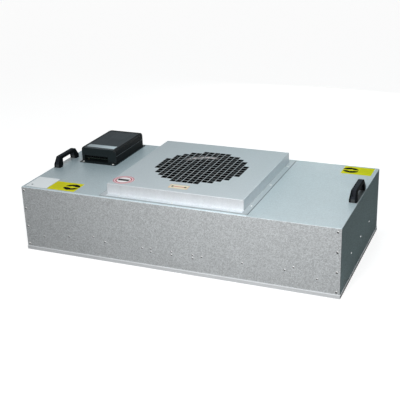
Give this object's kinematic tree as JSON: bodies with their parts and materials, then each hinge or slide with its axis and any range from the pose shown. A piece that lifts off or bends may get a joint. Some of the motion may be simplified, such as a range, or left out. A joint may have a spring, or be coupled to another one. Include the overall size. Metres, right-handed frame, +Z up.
{
  "type": "fan filter unit",
  "caption": "Ceiling fan filter unit: flat steel casing with a filter panel below, a centrifugal fan under a punched inlet hood, a speed controller and two handles on top.",
  "frame": {"origin": "the middle of the rectangle that the lip of the filter frame stands on", "axes": "+X along the casing to the right, +Y from the front wall to the back wall, +Z up towards the inlet hood"},
  "size_m": [1.178, 0.5794, 0.3035],
  "materials": {
    "galvanised": "galvanised, satin",
    "hood_steel": "galvanised, satin",
    "plated": "zinc plated",
    "extrusion": "satin",
    "filter_paper": "matt",
    "sealant": "satin",
    "foam": "matt",
    "guard_wire": "satin",
    "fan_black": "satin",
    "cast_alloy": "as cast",
    "lamination": "matt",
    "winding_copper": "varnished",
    "bearing_steel": "polished",
    "rotor_paint": "satin",
    "box_black": "anodised, satin",
    "board_green": "satin",
    "brass_posts": "satin",
    "socket_black": "satin",
    "edging_rubber": "matt",
    "handle_black": "textured"
  },
  "bodies": {
    "casing": {"base_screws": "plated", "board_posts": "brass_posts", "cable_edging": "edging_rubber", "casing_rivets": "plated", "casing_shell": "galvanised", "controller_back": "box_black", "controller_base": "box_black", "controller_board": "board_green", "controller_cover": "box_black", "controller_front": "box_black", "end_panel_left": "galvanised", "end_panel_right": "galvanised", "face_guard": "guard_wire", "fan_deck": "galvanised", "filter_frame_back": "extrusion", "filter_frame_front": "extrusion", "filter_frame_left": "extrusion", "filter_frame_right": "extrusion", "filter_gasket": "foam", "filter_media": "filter_paper", "filter_rail_back": "galvanised", "filter_rail_front": "galvanised", "filter_rail_left": "galvanised", "filter_rail_right": "galvanised", "filter_sealant": "sealant", "handle_left": "handle_black", "handle_right": "handle_black", "handle_screws": "plated", "hood_screws": "plated", "inlet_hood": "hood_steel", "inlet_ring": "fan_black", "motor_bearings": "bearing_steel", "motor_bolts": "plated", "panel_screws": "plated", "plate_screws": "plated", "power_inlet": "socket_black", "signal_jacks": "socket_black", "stator_base": "cast_alloy", "stator_core": "lamination", "stator_windings": "winding_copper"},
    "impeller": {"motor_rotor": "rotor_paint", "motor_shaft": "bearing_steel", "impeller_backplate": "fan_black", "impeller_blades": "fan_black", "impeller_shroud": "fan_black", "hub_bolts": "plated"}
  },
  "joints": [
    {"name": "impeller_spin", "type": "hinge", "parent": "casing", "child": "impeller", "pos_m": [0, 0, 0.13], "axis": [0, 0, 1], "continuous": true}
  ]
}
